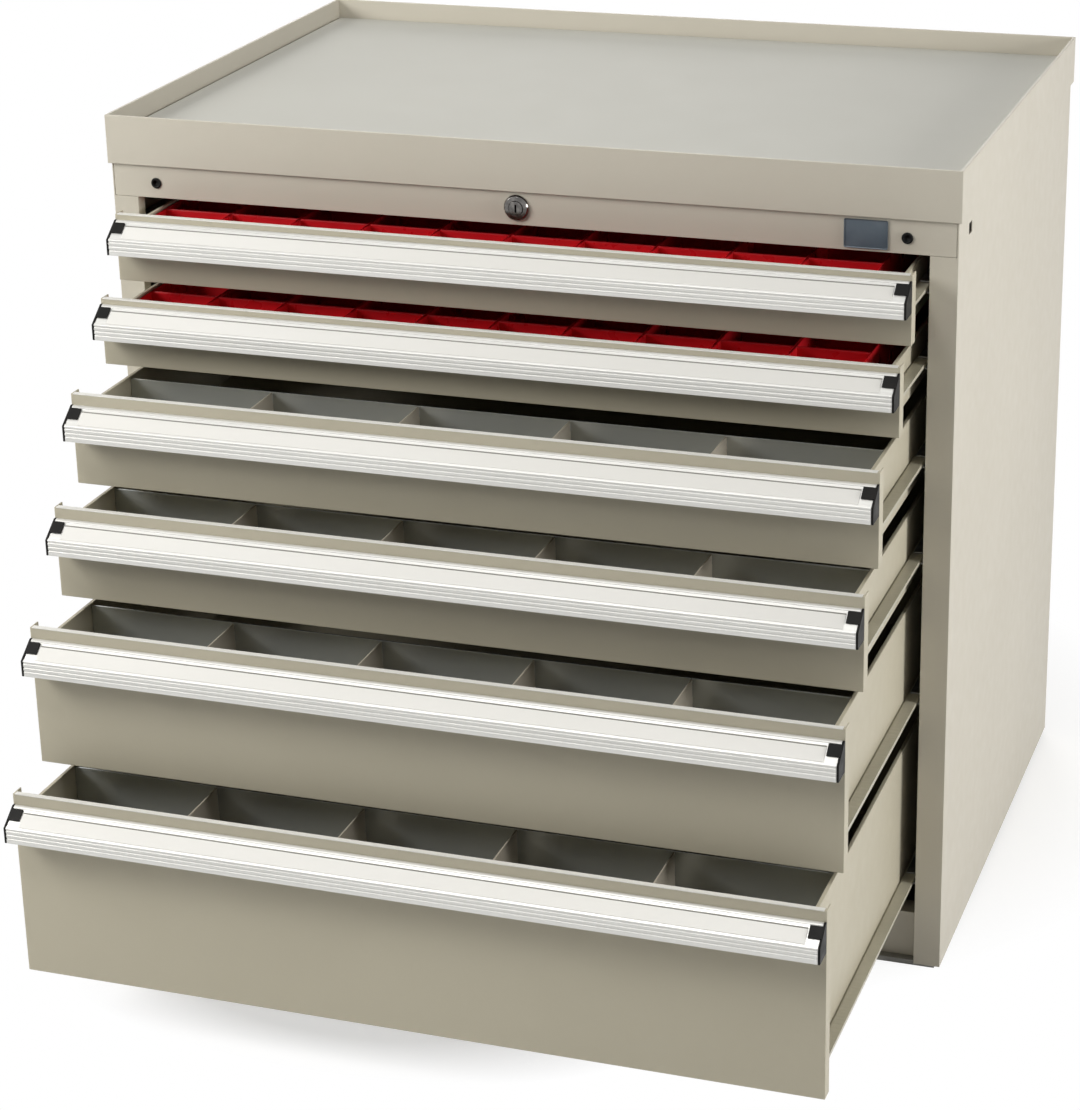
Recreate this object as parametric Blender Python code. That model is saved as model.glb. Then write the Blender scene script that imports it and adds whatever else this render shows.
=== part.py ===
"""Industrial drawer cabinet: a folded steel casing, a tray top, drawers on hooked rails and one central lock.

Metres, +Z up. The cabinet stands on z = 0, its front faces -Y and x = 0 is the middle of its width.
The drawers stand part open, each by its own amount, and the lock is open.
"""

import math

import bmesh
import bpy
from mathutils import Matrix, Vector

# Casing
body_width = 0.870
body_depth = 0.590
panel_sheet = 0.0015
flange_width = 0.027
flange_return = 0.014
seat = 0.0003

# Base
foot_height = 0.006
foot_inset = 0.007
foot_fold = 0.015
rib_width = 0.040
plinth_zone = 0.0513
plinth_recess = 0.015
plinth_side_gap = 0.0028
plinth_drop = 0.0013
plinth_fold = 0.025

# Drawer stack, from the top drawer to the bottom one
drawer_modules = (0.075, 0.075, 0.100, 0.100, 0.150, 0.200)
drawer_openings = (0.058, 0.101, 0.176, 0.227, 0.293, 0.353)
handle_drops = (0.0055, 0.0055, 0.011, 0.011, 0.011, 0.011)

# Fascia and tray
fascia_gap = 0.0022
fascia_show = 0.0335
fascia_fold = 0.015
tray_overhang = 0.003
tray_skirt_sheet = 0.0015
tray_lip = 0.050
tray_recess = 0.021
mat_thickness = 0.0025
mat_side_gap = 0.0005
back_fold = 0.020

# Slot near the top of each side panel
slot_from_front = 0.046
slot_length = 0.014
slot_height = 0.011
slot_over_fascia = 0.0095

# Drawer front and box
front_side_gap = 0.0032
front_top_gap = 0.005
front_bottom_gap = 0.0015
front_sheet = 0.0015
front_return = 0.015
front_top_return = 0.005
box_sheet = 0.0015
box_depth = 0.550
box_floor_lift = 0.006
box_top_drop = 0.016
rim_width = 0.0038

# Drawer rails, and the runner channels that they slide in
rail_reach = 0.013
rail_level = 0.040
rail_sheet = 0.0012
rail_web = 0.018
rail_lip = 0.0037
channel_sheet = 0.0015
channel_inset = 0.0035
ridge_width = 0.008
channel_depth = 0.011
channel_front_gap = 0.019
channel_rear_gap = 0.037
post_width = 0.030
post_sheet = 0.003
post_front_gap = 0.025
post_rear_gap = 0.045
post_top_gap = 0.004

# Handle
handle_depth = 0.023
handle_height = 0.031
handle_fall = 0.015
handle_shoulder = 0.0028
handle_wall = 0.0018
handle_back_leg = 0.029
handle_side_gap = 0.0002
label_edge = 0.0026
label_bed = 0.0008
groove_count = 3
groove_pitch = 0.0042
groove_width = 0.0016
groove_depth = 0.0006
cap_plate = 0.002
cap_tab_length = 0.0115
cap_tab_width = 0.0125
cap_tab_edge = 0.0035
cap_tab_thickness = 0.0014

# Bins, in the drawers up to this height, and dividers in the taller ones
bin_drawer_height = 0.075
bins_across = 10
bin_pitch = 0.075
bin_rows = (0.075, 0.075, 0.150, 0.150, 0.075)
bin_wall = 0.0015
bin_floor = 0.002
bin_side_gap = 0.0005
bin_front_gap = 0.0006
bin_top_drop = 0.002
divider_sheet = 0.002
divider_pitch = 0.156
divider_count = 4
divider_top_drop = 0.002
partition_from_front = 0.097

# Lock
lock_drop = 0.0162
bezel_radius = 0.013
bezel_height = 0.003
barrel_radius = 0.0095
barrel_length = 0.026
barrel_hole_play = 0.0004
plug_radius = 0.007
bore_play = 0.0004
plug_proud = 0.0006
plug_overrun = 0.0022
key_slot_width = 0.0018
key_slot_height = 0.008
key_slot_depth = 0.010
nut_radius = 0.0145
nut_height = 0.004
cam_sheet = 0.003
cam_width = 0.012
crank = 0.008
pin_radius = 0.0024
pin_length = 0.0065

# Locking bar
bar_width = 0.020
bar_sheet = 0.003
bar_front_sheet = 0.0025
bar_front_gap = 0.0025
bar_front_below = 0.0115
bar_front_above = 0.0125
bar_front_right = 0.018
bar_stroke = 0.008
slot_slack = 0.0021
slot_rise = 0.0005
finger_clearance = 0.004
finger_sheet = 0.002
finger_tip_sheet = 0.0025
finger_tip_gap = 0.0015
guide_height = 0.015
guide_wall = 0.0025
guide_places_shares = (0.35, 0.76)

# Hole plugs in the fascia
plug_from_side = 0.0487
plug_from_fascia = 0.0155
plug_head_radius = 0.0056
plug_head_height = 0.0012
plug_stem_radius = 0.0042
plug_stem_length = 0.008
plug_hole_play = 0.0003

# How the solids are made
cutter_overrun = 0.002
weld_distance = 0.000003
smooth_angle = math.radians(30)
lock_segments = 32
hole_plug_segments = 16
pin_segments = 12
nut_sides = 6

# Places worked out from the sizes above
front_y = -body_depth / 2
back_y = body_depth / 2
side_x = body_width / 2
inner_x = side_x - panel_sheet
opening_x = side_x - flange_width
body_z = foot_height
stack_z = body_z + plinth_zone
stack_top = stack_z + sum(drawer_modules)
fascia_z = stack_top - front_top_gap + fascia_gap
tray_top = fascia_z + fascia_show + tray_lip
tray_floor = tray_top - tray_recess - mat_thickness - seat
body_top = tray_floor - panel_sheet - seat
front_x = opening_x - front_side_gap
rail_x = front_x - seat
box_x = rail_x - rail_reach
inside_x = box_x - box_sheet
handle_x = front_x - handle_side_gap
lock_z = fascia_z + fascia_show - lock_drop


def clear_scene():
    for old in list(bpy.data.objects):
        bpy.data.objects.remove(old, do_unlink=True)


def paint(name, color, roughness, metallic=0.0):
    material = bpy.data.materials.new(name)
    material.use_nodes = True
    shader = material.node_tree.nodes["Principled BSDF"]
    shader.inputs["Base Color"].default_value = (*color, 1.0)
    shader.inputs["Roughness"].default_value = roughness
    shader.inputs["Metallic"].default_value = metallic
    material.diffuse_color = (*color, 1.0)
    return material


def object_of(name, shape, parent=None):
    """An object whose mesh is this bmesh, with its faces turned outwards."""
    bmesh.ops.recalc_face_normals(shape, faces=shape.faces)
    mesh = bpy.data.meshes.new(name)
    shape.to_mesh(mesh)
    shape.free()
    made = bpy.data.objects.new(name, mesh)
    bpy.context.collection.objects.link(made)
    made.parent = parent
    return made


def place(name, x, y, z):
    """An empty that the pieces of one moving body hang on."""
    empty = bpy.data.objects.new(name, None)
    bpy.context.collection.objects.link(empty)
    empty.location = (x, y, z)
    return empty


def prism(name, axis, outline, low, high, parent=None):
    """An outline extruded along X, Y or Z. Its points are (y, z), (x, z) or (x, y)."""
    spots = {"x": lambda a, b: (low, a, b), "y": lambda a, b: (a, low, b), "z": lambda a, b: (a, b, low)}
    shape = bmesh.new()
    face = shape.faces.new([shape.verts.new(spots[axis](a, b)) for a, b in outline])
    grown = bmesh.ops.extrude_face_region(shape, geom=[face])["geom"]
    step = Vector([high - low if letter == axis else 0 for letter in "xyz"])
    far_end = [part for part in grown if isinstance(part, bmesh.types.BMVert)]
    bmesh.ops.translate(shape, verts=far_end, vec=step)
    return object_of(name, shape, parent)


def block(name, x, y, z, parent=None):
    """A box from its pairs of limits along X, Y and Z."""
    outline = [(x[0], z[0]), (x[1], z[0]), (x[1], z[1]), (x[0], z[1])]
    return prism(name, "y", outline, y[0], y[1], parent)


def turned(name, profile, segments, centre, parent=None):
    """A profile of (radius, y) points spun about a line through the centre along Y."""
    shape = bmesh.new()
    points = [shape.verts.new((radius, y, 0)) for radius, y in profile]
    edges = [shape.edges.new(pair) for pair in zip(points, points[1:] + points[:1])]
    bmesh.ops.spin(
        shape,
        geom=points + edges,
        cent=(0, 0, 0),
        axis=(0, 1, 0),
        angle=math.tau,
        steps=segments,
        use_merge=True,
    )
    bmesh.ops.remove_doubles(shape, verts=shape.verts, dist=weld_distance)
    bmesh.ops.dissolve_degenerate(shape, edges=shape.edges, dist=weld_distance)
    bmesh.ops.translate(shape, verts=shape.verts, vec=centre)
    made = object_of(name, shape, parent)
    made.data.shade_smooth()
    made.data.set_sharp_from_angle(angle=smooth_angle)
    return made


def boolean(target, operation, tools):
    for tool in tools:
        tool.parent = target.parent
        tool.hide_render = True
        tool.display_type = "WIRE"
        modifier = target.modifiers.new(operation.lower(), "BOOLEAN")
        modifier.operation = operation
        modifier.solver = "MANIFOLD"
        modifier.object = tool
    return target


def join(target, *tools):
    return boolean(target, "UNION", tools)


def cut(target, *tools):
    return boolean(target, "DIFFERENCE", tools)


def finish(target, material):
    target.data.materials.append(material)
    return target


def mirrored(outline, side):
    """The outline of the right-hand piece, or its mirror image for the left."""
    return [(side * a, b) for a, b in outline]


def ordered(side, low, high):
    """The limits along X of a piece on this side."""
    return tuple(sorted((side * low, side * high)))


def side_panel(name, side, material):
    """A pan: web, front flange with its return, rear flange, and flanges at the top and bottom."""
    lap = side_x - panel_sheet / 2
    web = [
        (side_x, front_y),
        (side_x, back_y),
        (opening_x, back_y),
        (opening_x, back_y - panel_sheet),
        (inner_x, back_y - panel_sheet),
        (inner_x, front_y),
    ]
    flange = [
        (lap, front_y),
        (lap, front_y + panel_sheet),
        (opening_x + panel_sheet, front_y + panel_sheet),
        (opening_x + panel_sheet, front_y + flange_return),
        (opening_x, front_y + flange_return),
        (opening_x, front_y),
    ]
    panel = prism(name, "z", mirrored(web, side), body_z, body_top)
    front = prism(name + "_front_flange", "z", mirrored(flange, side), body_z, fascia_z - seat)
    across = ordered(side, opening_x, lap)
    run = (front_y + panel_sheet / 2, back_y - panel_sheet / 2)
    bottom = block(name + "_bottom_flange", across, run, (body_z, body_z + panel_sheet))
    top = block(name + "_top_flange", across, run, (body_top - panel_sheet, body_top))
    join(panel, front, bottom, top)
    through = ordered(side, inner_x - cutter_overrun, side_x + cutter_overrun)
    slot_y = front_y + slot_from_front
    slot_z = fascia_z + slot_over_fascia
    slot = block(name + "_slot", through, (slot_y, slot_y + slot_length), (slot_z, slot_z + slot_height))
    cut(panel, slot)
    return finish(panel, material)


def back_panel(material):
    """The recessed back, folded forward at its top, with two loops that guide the locking bar."""
    across = (seat - inner_x, inner_x - seat)
    rear = back_y - panel_sheet - seat
    low = body_z + panel_sheet + seat
    high = body_top - panel_sheet - seat
    panel = block("back_panel", across, (rear - panel_sheet, rear), (low, high))
    fold = block(
        "back_panel_fold",
        (-opening_x + seat, opening_x - seat),
        (rear - back_fold, rear - panel_sheet / 2),
        (high - panel_sheet, high),
    )
    join(panel, fold)
    half = bar_width / 2 + seat
    face = bar_face_y()
    near = face - bar_sheet - seat - guide_wall
    for number, share in enumerate(guide_places_shares, start=1):
        middle = low + share * (high - low)
        tall = (middle - guide_height / 2, middle + guide_height / 2)
        loop = block(
            f"bar_guide_{number}",
            (-half - guide_wall, half + guide_wall),
            (near, rear - panel_sheet / 2),
            tall,
        )
        room = block(
            f"bar_guide_room_{number}",
            (-half, half),
            (near + guide_wall, face + seat),
            (tall[0] - cutter_overrun, tall[1] + cutter_overrun),
        )
        cut(loop, room)
        join(panel, loop)
    return finish(panel, material)


def base_pan(material):
    """One folded sheet: feet folded under at the front and back, and a rib down to the floor between them."""
    half = body_depth / 2 - foot_inset
    top = foot_height - seat
    rib = rib_width / 2
    front = [
        (-half, 0),
        (-half + foot_fold, 0),
        (-half + foot_fold, panel_sheet),
        (-half + panel_sheet, panel_sheet),
        (-half + panel_sheet, top - panel_sheet),
        (-rib, top - panel_sheet),
        (-rib, 0),
    ]
    upper = [
        (half, top),
        (rib - panel_sheet, top),
        (rib - panel_sheet, panel_sheet),
        (panel_sheet - rib, panel_sheet),
        (panel_sheet - rib, top),
        (-half, top),
    ]
    back = [(-y, z) for y, z in reversed(front)]
    across = side_x - foot_inset
    return finish(prism("base_pan", "x", front + back + upper, -across, across), material)


def plinth_rail(material):
    """A channel across the front, under the lowest drawer, open to the back."""
    near = front_y + plinth_recess
    low = body_z
    high = body_z + plinth_zone - plinth_drop
    half = opening_x - plinth_side_gap
    profile = [
        (near, low),
        (near + plinth_fold, low),
        (near + plinth_fold, low + panel_sheet),
        (near + panel_sheet, low + panel_sheet),
        (near + panel_sheet, high - panel_sheet),
        (near + plinth_fold, high - panel_sheet),
        (near + plinth_fold, high),
        (near, high),
    ]
    return finish(prism("plinth_rail", "x", profile, -half, half), material)


def fascia_rail(material):
    """The cross rail over the top drawer, a channel with holes for the lock and the two hole plugs."""
    high = body_top - panel_sheet - seat
    profile = [
        (front_y, fascia_z),
        (front_y + fascia_fold, fascia_z),
        (front_y + fascia_fold, fascia_z + panel_sheet),
        (front_y + panel_sheet, fascia_z + panel_sheet),
        (front_y + panel_sheet, high - panel_sheet),
        (front_y + fascia_fold, high - panel_sheet),
        (front_y + fascia_fold, high),
        (front_y, high),
    ]
    half = inner_x - seat
    rail = prism("fascia_rail", "x", profile, -half, half)
    deep = (-cutter_overrun, panel_sheet + cutter_overrun)
    lock_hole = disc("lock_hole", barrel_radius + barrel_hole_play, deep, lock_segments, (0, front_y, lock_z))
    cut(rail, lock_hole)
    for side in (-1, 1):
        centre = (side * (side_x - plug_from_side), front_y, fascia_z + plug_from_fascia)
        cut(rail, disc("plug_hole", plug_stem_radius + plug_hole_play, deep, hole_plug_segments, centre))
    return finish(rail, material)


def disc(name, radius, deep, segments, centre, parent=None):
    """A round bar along Y."""
    profile = [(0, deep[0]), (radius, deep[0]), (radius, deep[1]), (0, deep[1])]
    return turned(name, profile, segments, centre, parent)


def top_tray(material):
    """The lid: a raised lip with a folded hem, a floor, and a skirt that hangs over the casing."""
    half_x = side_x + tray_overhang
    half_y = body_depth / 2 + tray_overhang
    low = tray_top - tray_lip
    tray = block("top_tray", (-half_x, half_x), (-half_y, half_y), (low, tray_top))
    hem = tray_overhang
    recess = block(
        "tray_recess",
        (hem - half_x, half_x - hem),
        (hem - half_y, half_y - hem),
        (tray_floor, tray_top + cutter_overrun),
    )
    hollow = block(
        "tray_underside",
        (tray_skirt_sheet - half_x, half_x - tray_skirt_sheet),
        (tray_skirt_sheet - half_y, half_y - tray_skirt_sheet),
        (low - cutter_overrun, tray_floor - panel_sheet),
    )
    return finish(cut(tray, recess, hollow), material)


def top_mat(material):
    half_x = side_x - mat_side_gap
    half_y = body_depth / 2 - mat_side_gap
    low = tray_floor + seat
    mat = block("top_mat", (-half_x, half_x), (-half_y, half_y), (low, low + mat_thickness))
    return finish(mat, material)


def channel_outline():
    """The runner channel seen from the front, as (x, z) from the cabinet's middle and the module's bottom."""
    outer = inner_x - seat - post_sheet / 2
    ridge_in = rail_x - rail_reach + channel_inset - seat
    ridge_out = ridge_in + ridge_width
    rest = rail_level - rail_sheet - seat
    cover = rail_level + seat
    floor = cover - channel_depth
    return [
        (ridge_in, rest),
        (ridge_out, rest),
        (ridge_out, floor + channel_sheet),
        (outer - channel_sheet, floor + channel_sheet),
        (outer - channel_sheet, cover),
        (ridge_in, cover),
        (ridge_in, cover + channel_sheet),
        (outer, cover + channel_sheet),
        (outer, floor),
        (ridge_out - channel_sheet, floor),
        (ridge_out - channel_sheet, rest - channel_sheet),
        (ridge_in, rest - channel_sheet),
    ]


def module_floors():
    """The bottom of each drawer's module, from the top drawer down."""
    level = stack_top
    floors = []
    for height in drawer_modules:
        level -= height
        floors.append(level)
    return floors


def runner_frame(name, side, material):
    """Two posts against the side panel, with a channel across them for each drawer."""
    low = body_z + panel_sheet + seat
    high = fascia_z - post_top_gap
    across = ordered(side, inner_x - seat - post_sheet, inner_x - seat)
    front = (front_y + post_front_gap, front_y + post_front_gap + post_width)
    rear = (back_y - post_rear_gap - post_width, back_y - post_rear_gap)
    frame = block(name, across, front, (low, high))
    join(frame, block(name + "_rear_post", across, rear, (low, high)))
    run = (front_y + channel_front_gap, back_y - channel_rear_gap)
    for number, floor in enumerate(module_floors(), start=1):
        outline = [(x, z + floor) for x, z in mirrored(channel_outline(), side)]
        join(frame, prism(f"{name}_channel_{number}", "y", outline, run[0], run[1]))
    return finish(frame, material)


def drawer_box(name, height, parent, material):
    """The box with a rim folded in all round, and the front panel welded to it, folded on all four edges."""
    low = box_floor_lift
    high = height - box_top_drop
    face = front_sheet / 2
    outer = block(name, (-box_x, box_x), (face, box_depth), (low, high), parent)
    room = block(
        name + "_room",
        (-inside_x, inside_x),
        (face + box_sheet, box_depth - box_sheet),
        (low + box_sheet, high - box_sheet),
        parent,
    )
    mouth = block(
        name + "_mouth",
        (rim_width - box_x, box_x - rim_width),
        (face + rim_width, box_depth - rim_width),
        (high - box_sheet - cutter_overrun, high + cutter_overrun),
        parent,
    )
    cut(outer, join(room, mouth))
    plan = [
        (-front_x, 0),
        (front_x, 0),
        (front_x, front_return),
        (front_x - front_sheet, front_return),
        (front_x - front_sheet, front_sheet),
        (front_sheet - front_x, front_sheet),
        (front_sheet - front_x, front_return),
        (-front_x, front_return),
    ]
    bottom = front_bottom_gap
    top = height - front_top_gap
    panel = prism(name + "_front", "z", plan, bottom, top, parent)
    inner = front_x - front_sheet / 2
    across = (-inner, inner)
    lap = front_sheet / 2
    top_fold = block(name + "_front_top", across, (lap, front_top_return), (top - front_sheet, top), parent)
    edges = (bottom, bottom + front_sheet)
    lower_fold = block(name + "_front_foot", across, (lap, front_return), edges, parent)
    return finish(join(outer, panel, top_fold, lower_fold), material)


def drawer_rail(name, side, parent, material):
    """A rail against the box's side: its flange lies on the channel's ridge and its lip hooks over it."""
    wall = box_x + seat
    top = rail_level
    profile = [
        (wall, top),
        (rail_x, top),
        (rail_x, top - rail_lip),
        (rail_x - rail_sheet, top - rail_lip),
        (rail_x - rail_sheet, top - rail_sheet),
        (wall + rail_sheet, top - rail_sheet),
        (wall + rail_sheet, top - rail_web),
        (wall, top - rail_web),
    ]
    run = (front_return + seat, box_depth - seat)
    return finish(prism(name, "y", mirrored(profile, side), run[0], run[1], parent), material)


def on_slope(along, lift):
    """A point of the handle's sloping face, as (y, z) below the handle's top: along it, and lifted off it."""
    forward = handle_depth - handle_shoulder
    length = math.hypot(forward, handle_fall)
    down = handle_fall / length
    out = forward / length
    return (-handle_shoulder - along * out - lift * down, -along * down + lift * out)


def slope_length():
    return math.hypot(handle_depth - handle_shoulder, handle_fall)


def under_slope(y):
    """The height of the underside of the sloping wall at this y."""
    first = on_slope(0, -label_bed - handle_wall)
    last = on_slope(slope_length(), -label_bed - handle_wall)
    share = (y - first[0]) / (last[0] - first[0])
    return first[1] + share * (last[1] - first[1])


def handle_outline():
    """The extrusion seen from its end: back plate, sloping label bed between two edges, and grooved nose."""
    bed_end = slope_length() - label_edge
    points = [
        (-seat, -handle_back_leg),
        (-seat, 0),
        on_slope(0, 0),
        on_slope(label_edge, 0),
        on_slope(label_edge, -label_bed),
        on_slope(bed_end, -label_bed),
        on_slope(bed_end, 0),
        (-handle_depth, -handle_fall),
    ]
    for number in range(groove_count):
        middle = -handle_fall - (number + 0.5) * groove_pitch
        for depth, step in ((0, groove_width / 2), (groove_depth, groove_width / 2)):
            points.append((depth - handle_depth, middle + step))
        for depth, step in ((groove_depth, groove_width / 2), (0, groove_width / 2)):
            points.append((depth - handle_depth, middle - step))
    nose = handle_wall + groove_depth - handle_depth
    plate = -seat - handle_wall
    points += [
        (-handle_depth, -handle_height),
        (nose, -handle_height),
        (nose, under_slope(nose)),
        (plate, under_slope(plate)),
        (plate, -handle_back_leg),
    ]
    return points


def moved(outline, rise):
    return [(a, b + rise) for a, b in outline]


def drawer_handle(name, top, parent, material):
    half = handle_x - cap_plate - seat
    return finish(prism(name, "x", moved(handle_outline(), top), -half, half, parent), material)


def handle_cap(name, side, top, parent, material):
    """A plate over the end of the handle, with a tab that lies in the label bed."""
    end = [
        (-seat, -handle_height),
        (-seat, 0),
        on_slope(0, 0),
        (-handle_depth, -handle_fall),
        (-handle_depth, -handle_height),
    ]
    limits = ordered(side, handle_x - cap_plate, handle_x)
    cap = prism(name, "x", moved(end, top), limits[0], limits[1], parent)
    low = seat - label_bed
    tab = [
        on_slope(cap_tab_edge, low),
        on_slope(cap_tab_edge + cap_tab_width, low),
        on_slope(cap_tab_edge + cap_tab_width, low + cap_tab_thickness),
        on_slope(cap_tab_edge, low + cap_tab_thickness),
    ]
    limits = ordered(side, handle_x - cap_plate - cap_tab_length, handle_x - cap_plate / 2)
    join(cap, prism(name + "_tab", "x", moved(tab, top), limits[0], limits[1], parent))
    return finish(cap, material)


def inside_front():
    """The inner face of the box's front wall, behind the front panel's face."""
    return front_sheet / 2 + box_sheet


def bins(name, height, parent, material):
    """The drawer's plastic bins side by side and in rows, joined where they touch."""
    floor = box_floor_lift + box_sheet + seat
    top = height - box_top_drop - box_sheet - bin_top_drop
    left = bin_side_gap - inside_x
    near = inside_front() + bin_front_gap
    across = (left, left + bins_across * bin_pitch)
    tray = block(name, across, (near, near + sum(bin_rows)), (floor, top), parent)
    pockets = bmesh.new()
    for depth in bin_rows:
        for column in range(bins_across):
            start = left + column * bin_pitch
            low = Vector((start + bin_wall, near + bin_wall, floor + bin_floor))
            high = Vector((start + bin_pitch - bin_wall, near + depth - bin_wall, top + cutter_overrun))
            middle = Matrix.Translation((low + high) / 2)
            bmesh.ops.create_cube(pockets, size=1, matrix=middle @ Matrix.Diagonal(high - low).to_4x4())
        near += depth
    cut(tray, object_of(name + "_pockets", pockets, parent))
    return finish(tray, material)


def dividers(name, height, parent, material):
    """A cross partition, with divider plates from it to the front of the box."""
    floor = box_floor_lift + box_sheet + seat
    top = height - box_top_drop - box_sheet - divider_top_drop
    half = inside_x - seat
    middle = partition_from_front
    faces = (middle - divider_sheet / 2, middle + divider_sheet / 2)
    partition = block(name, (-half, half), faces, (floor, top), parent)
    near = inside_front() + seat
    for number in range(divider_count):
        centre = (number - (divider_count - 1) / 2) * divider_pitch
        across = (centre - divider_sheet / 2, centre + divider_sheet / 2)
        join(partition, block(f"{name}_plate_{number + 1}", across, (near, middle), (floor, top), parent))
    return finish(partition, material)


def drawer(number, floor, finishes):
    """One drawer on its own empty, whose origin is the middle of the bottom edge of its front face."""
    height = drawer_modules[number - 1]
    opening = drawer_openings[number - 1]
    name = f"drawer_{number}"
    slide = place(f"{name}_slide", 0, front_y - opening, floor)
    drawer_box(f"{name}_box", height, slide, finishes["front"])
    top = height - front_top_gap - handle_drops[number - 1]
    drawer_handle(f"{name}_handle", top, slide, finishes["aluminium"])
    for side, word in ((-1, "left"), (1, "right")):
        handle_cap(f"{name}_cap_{word}", side, top, slide, finishes["black"])
        drawer_rail(f"{name}_rail_{word}", side, slide, finishes["rail"])
    if height <= bin_drawer_height:
        bins(f"{name}_bins", height, slide, finishes["red"])
    else:
        dividers(f"{name}_dividers", height, slide, finishes["divider"])


def hole_plug(name, side, material):
    head = plug_head_height
    centre = (side * (side_x - plug_from_side), front_y - seat, fascia_z + plug_from_fascia)
    profile = [
        (0, -head),
        (plug_head_radius - head / 2, -head),
        (plug_head_radius, -head / 2),
        (plug_head_radius, 0),
        (plug_stem_radius, 0),
        (plug_stem_radius, plug_stem_length),
        (0, plug_stem_length),
    ]
    return finish(turned(name, profile, hole_plug_segments, centre), material)


def lock_barrel(material):
    """The fixed barrel: a bezel in front of the fascia and a bored neck behind it."""
    inner = plug_radius + bore_play
    height = bezel_height
    profile = [
        (inner, -height),
        (bezel_radius - height / 2, -height),
        (bezel_radius, -height / 3),
        (bezel_radius, 0),
        (barrel_radius, 0),
        (barrel_radius, barrel_length),
        (inner, barrel_length),
    ]
    return finish(turned("lock_barrel", profile, lock_segments, (0, front_y - seat, lock_z)), material)


def lock_nut(material):
    """A hexagon nut that clamps the barrel behind the fascia."""
    inner = barrel_radius + barrel_hole_play
    near = panel_sheet + seat
    nut = disc("lock_nut", nut_radius, (near, near + nut_height), nut_sides, (0, front_y, lock_z))
    deep = (near - cutter_overrun, near + nut_height + cutter_overrun)
    return finish(cut(nut, disc("nut_bore", inner, deep, lock_segments, (0, front_y, lock_z))), material)


def plug_end_y():
    """How far behind the fascia's face the lock plug reaches, to the front of its cam."""
    return barrel_length - seat + plug_overrun


def cam_back_y():
    return plug_end_y() + cam_sheet


def lock_plug(material):
    """The turning plug with its key slot, and a cam behind the barrel whose pin drives the locking bar."""
    axis = place("lock_axis", 0, front_y, lock_z)
    face = -seat - bezel_height - plug_proud
    run = (face, plug_end_y() + cam_sheet / 2)
    plug = disc("lock_plug", plug_radius, run, lock_segments, (0, 0, 0), axis)
    half = key_slot_width / 2
    key = block(
        "key_slot",
        (-half, half),
        (face - cutter_overrun, face + key_slot_depth),
        (-key_slot_height / 2, key_slot_height / 2),
        axis,
    )
    cut(plug, key)
    cam = block(
        "lock_cam",
        (-cam_width / 2, crank + cam_width / 2),
        (plug_end_y(), cam_back_y()),
        (-cam_width / 2, cam_width / 2),
        axis,
    )
    pin_run = (cam_back_y() - cam_sheet / 2, cam_back_y() + pin_length)
    pin = disc("crank_pin", pin_radius, pin_run, pin_segments, (crank, 0, 0), axis)
    join(plug, cam, pin)
    return finish(plug, material)


def bar_face_y():
    """The back face of the locking bar, in front of the back panel."""
    return back_y - panel_sheet - seat - panel_sheet - seat


def locking_bar(material):
    """A slotted plate behind the lock, a strip back under the tray, and one down with a finger a drawer."""
    slide = place("bar_slide", 0, front_y, lock_z)
    near = cam_back_y() + bar_front_gap
    back = bar_face_y() - front_y
    half = bar_width / 2
    floor = -bar_front_below
    plate = block(
        "locking_bar",
        (-half, bar_front_right),
        (near, near + bar_front_sheet),
        (floor, bar_front_above),
        slide,
    )
    reach = pin_radius + seat
    slot = block(
        "bar_slot",
        (-reach - slot_rise, crank + reach + slot_rise),
        (near - cutter_overrun, near + bar_front_sheet + cutter_overrun),
        (-reach - slot_slack, reach + slot_rise),
        slide,
    )
    cut(plate, slot)
    run = (near + bar_front_sheet / 2, back)
    along = block("bar_top", (-half, half), run, (floor, floor + bar_sheet), slide)
    low = module_floors()[-1] + drawer_modules[-1] - box_top_drop + finger_clearance - lock_z
    down = block("bar_back", (-half, half), (back - bar_sheet, back), (low, floor + bar_sheet / 2), slide)
    join(plate, along, down)
    rim_front = box_depth - rim_width
    tip = rim_front - finger_tip_gap
    for number, module in enumerate(module_floors(), start=1):
        height = drawer_modules[number - 1]
        under = module + height - box_top_drop + finger_clearance - lock_z
        arm = under + bar_stroke
        finger = [
            (tip - finger_tip_sheet, under),
            (tip, under),
            (tip, arm),
            (back - bar_sheet / 2, arm),
            (back - bar_sheet / 2, arm + finger_sheet),
            (tip - finger_tip_sheet, arm + finger_sheet),
        ]
        join(plate, prism(f"bar_finger_{number}", "x", finger, -half, half, slide))
    return finish(plate, material)


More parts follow.
